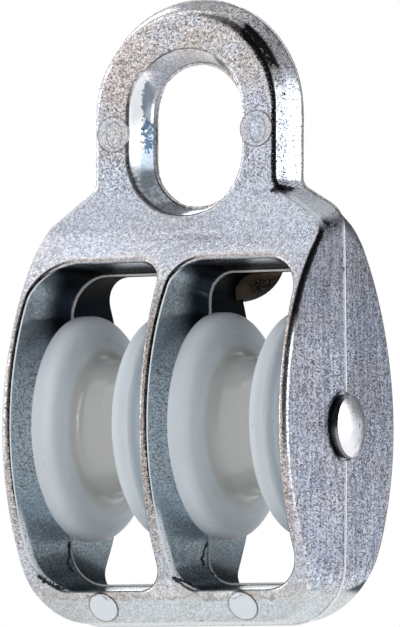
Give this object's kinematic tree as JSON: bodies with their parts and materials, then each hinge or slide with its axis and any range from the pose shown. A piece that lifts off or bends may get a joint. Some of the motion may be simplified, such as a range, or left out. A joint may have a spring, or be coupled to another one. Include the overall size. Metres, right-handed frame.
{
  "type": "double block",
  "caption": "Pulley block with one cast metal housing, a rigid rope eye and grooved plastic sheaves that spin side by side on one rivet.",
  "frame": {"origin": "middle of the eye's hole, on the parting plane of the casting", "axes": "+Z from the sheaves towards the crown of the eye, X along the axle, -Y is the front that carries the ejector-pin marks"},
  "size_m": [0.0597, 0.04, 0.1051],
  "materials": {
    "zinc_casting": "zinc die casting with a bright, faintly blue zinc plating, satin and finely grained",
    "nylon": "natural white nylon, smooth, slightly waxy",
    "rivet_steel": "bright stainless steel with a polished head"
  },
  "bodies": {
    "block": {"housing": "zinc_casting", "axle_rivet": "rivet_steel"},
    "left_wheel": {"sheave_left": "nylon"},
    "right_wheel": {"sheave_right": "nylon"}
  },
  "joints": [
    {"name": "left_sheave_spin", "type": "hinge", "parent": "block", "child": "left_wheel", "pos_m": [-0.0125, 0, -0.0488], "axis": [1, 0, 0], "continuous": true},
    {"name": "right_sheave_spin", "type": "hinge", "parent": "block", "child": "right_wheel", "pos_m": [0.0131, 0, -0.0488], "axis": [1, 0, 0], "continuous": true}
  ]
}
